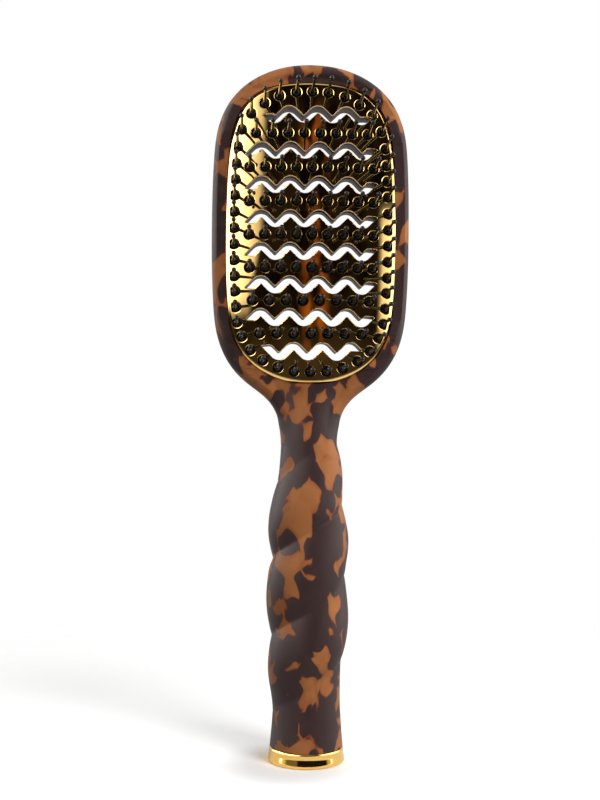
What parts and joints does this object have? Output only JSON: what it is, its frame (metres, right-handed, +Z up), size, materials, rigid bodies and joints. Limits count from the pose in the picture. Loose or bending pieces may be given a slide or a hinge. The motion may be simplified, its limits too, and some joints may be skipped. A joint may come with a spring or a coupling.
{
  "type": "vanity hairbrush",
  "caption": "Vented paddle hairbrush with a domed gilt face plate, flexing ball-tipped pins and a spirally twisted tortoiseshell handle that stands on its end cap.",
  "frame": {"origin": "centre of the end cap's bottom face, which the brush stands on", "axes": "+Z up along the handle to the head, pins point to -Y, +X to the right of someone facing the pins"},
  "size_m": [0.0686, 0.0383, 0.2418],
  "materials": {
    "tortoise": "satin, mottled tortoiseshell",
    "gold_plate": "mirror gold electroplate on moulded plastic",
    "gold_cap": "mirror gold electroplate on moulded plastic",
    "black_elastomer": "satin",
    "black_nylon": "moulded",
    "pin_nylon": "glossy moulded nylon"
  },
  "bodies": {
    "root": {"front_shell": "tortoise", "back_shell": "tortoise", "face_plate": "gold_plate", "bristle_bed": "black_elastomer", "end_cap": "gold_cap", "end_cap_plug": "black_nylon"},
    "pins_row_1": {"pins_row_1": "pin_nylon"},
    "pins_row_2": {"pins_row_2": "pin_nylon"},
    "pins_row_3": {"pins_row_3": "pin_nylon"},
    "pins_row_4": {"pins_row_4": "pin_nylon"},
    "pins_row_5": {"pins_row_5": "pin_nylon"},
    "pins_row_6": {"pins_row_6": "pin_nylon"},
    "pins_row_7": {"pins_row_7": "pin_nylon"},
    "pins_top": {"pins_top": "pin_nylon"},
    "pins_bottom": {"pins_bottom": "pin_nylon"},
    "pins_corner_top_right": {"pins_corner_top_right": "pin_nylon"},
    "pins_corner_top_left": {"pins_corner_top_left": "pin_nylon"},
    "pins_side_right": {"pins_side_right": "pin_nylon"},
    "pins_side_left": {"pins_side_left": "pin_nylon"},
    "pins_corner_bottom_right": {"pins_corner_bottom_right": "pin_nylon"},
    "pins_corner_bottom_left": {"pins_corner_bottom_left": "pin_nylon"}
  },
  "joints": [
    {"name": "pins_row_1_flex", "type": "hinge", "parent": "root", "child": "pins_row_1", "pos_m": [0, -0.00598, 0.2169], "axis": [1, 0, 0], "range_deg": [-8, 8], "stiffness_Nm_per_rad": 0.02},
    {"name": "pins_row_2_flex", "type": "hinge", "parent": "root", "child": "pins_row_2", "pos_m": [0, -0.00685, 0.205], "axis": [1, 0, 0], "range_deg": [-8, 8], "stiffness_Nm_per_rad": 0.02},
    {"name": "pins_row_3_flex", "type": "hinge", "parent": "root", "child": "pins_row_3", "pos_m": [0, -0.00748, 0.1933], "axis": [1, 0, 0], "range_deg": [-8, 8], "stiffness_Nm_per_rad": 0.02},
    {"name": "pins_row_4_flex", "type": "hinge", "parent": "root", "child": "pins_row_4", "pos_m": [0, -0.00771, 0.1818], "axis": [1, 0, 0], "range_deg": [-8, 8], "stiffness_Nm_per_rad": 0.02},
    {"name": "pins_row_5_flex", "type": "hinge", "parent": "root", "child": "pins_row_5", "pos_m": [0, -0.00757, 0.1705], "axis": [1, 0, 0], "range_deg": [-8, 8], "stiffness_Nm_per_rad": 0.02},
    {"name": "pins_row_6_flex", "type": "hinge", "parent": "root", "child": "pins_row_6", "pos_m": [0, -0.00712, 0.1593], "axis": [1, 0, 0], "range_deg": [-8, 8], "stiffness_Nm_per_rad": 0.02},
    {"name": "pins_row_7_flex", "type": "hinge", "parent": "root", "child": "pins_row_7", "pos_m": [0, -0.00645, 0.148], "axis": [1, 0, 0], "range_deg": [-8, 8], "stiffness_Nm_per_rad": 0.02},
    {"name": "pins_top_flex", "type": "hinge", "parent": "root", "child": "pins_top", "pos_m": [0, -0.00466, 0.22945], "axis": [1, 0, 0], "range_deg": [-6, 6], "stiffness_Nm_per_rad": 0.02},
    {"name": "pins_bottom_flex", "type": "hinge", "parent": "root", "child": "pins_bottom", "pos_m": [0, -0.00527, 0.1369], "axis": [1, 0, 0], "range_deg": [-6, 6], "stiffness_Nm_per_rad": 0.02},
    {"name": "pins_corner_top_right_flex", "type": "hinge", "parent": "root", "child": "pins_corner_top_right", "pos_m": [0.0225, -0.00391, 0.2211], "axis": [0.4961, 0.0051, -0.8682], "range_deg": [-8, 8], "stiffness_Nm_per_rad": 0.02},
    {"name": "pins_corner_top_left_flex", "type": "hinge", "parent": "root", "child": "pins_corner_top_left", "pos_m": [-0.0225, -0.00391, 0.2211], "axis": [-0.4961, 0.0051, -0.8682], "range_deg": [-8, 8], "stiffness_Nm_per_rad": 0.02},
    {"name": "pins_side_right_flex", "type": "hinge", "parent": "root", "child": "pins_side_right", "pos_m": [0.02587, -0.00479, 0.18205], "axis": [0, 0, 1], "range_deg": [-8, 8], "stiffness_Nm_per_rad": 0.02},
    {"name": "pins_side_left_flex", "type": "hinge", "parent": "root", "child": "pins_side_left", "pos_m": [-0.02587, -0.00479, 0.18205], "axis": [0, 0, 1], "range_deg": [-8, 8], "stiffness_Nm_per_rad": 0.02},
    {"name": "pins_corner_bottom_right_flex", "type": "hinge", "parent": "root", "child": "pins_corner_bottom_right", "pos_m": [0.0221, -0.00444, 0.1446], "axis": [-0.5461, -0.0269, -0.8373], "range_deg": [-8, 8], "stiffness_Nm_per_rad": 0.02},
    {"name": "pins_corner_bottom_left_flex", "type": "hinge", "parent": "root", "child": "pins_corner_bottom_left", "pos_m": [-0.0221, -0.00444, 0.1446], "axis": [0.5461, -0.0269, -0.8373], "range_deg": [-8, 8], "stiffness_Nm_per_rad": 0.02}
  ]
}
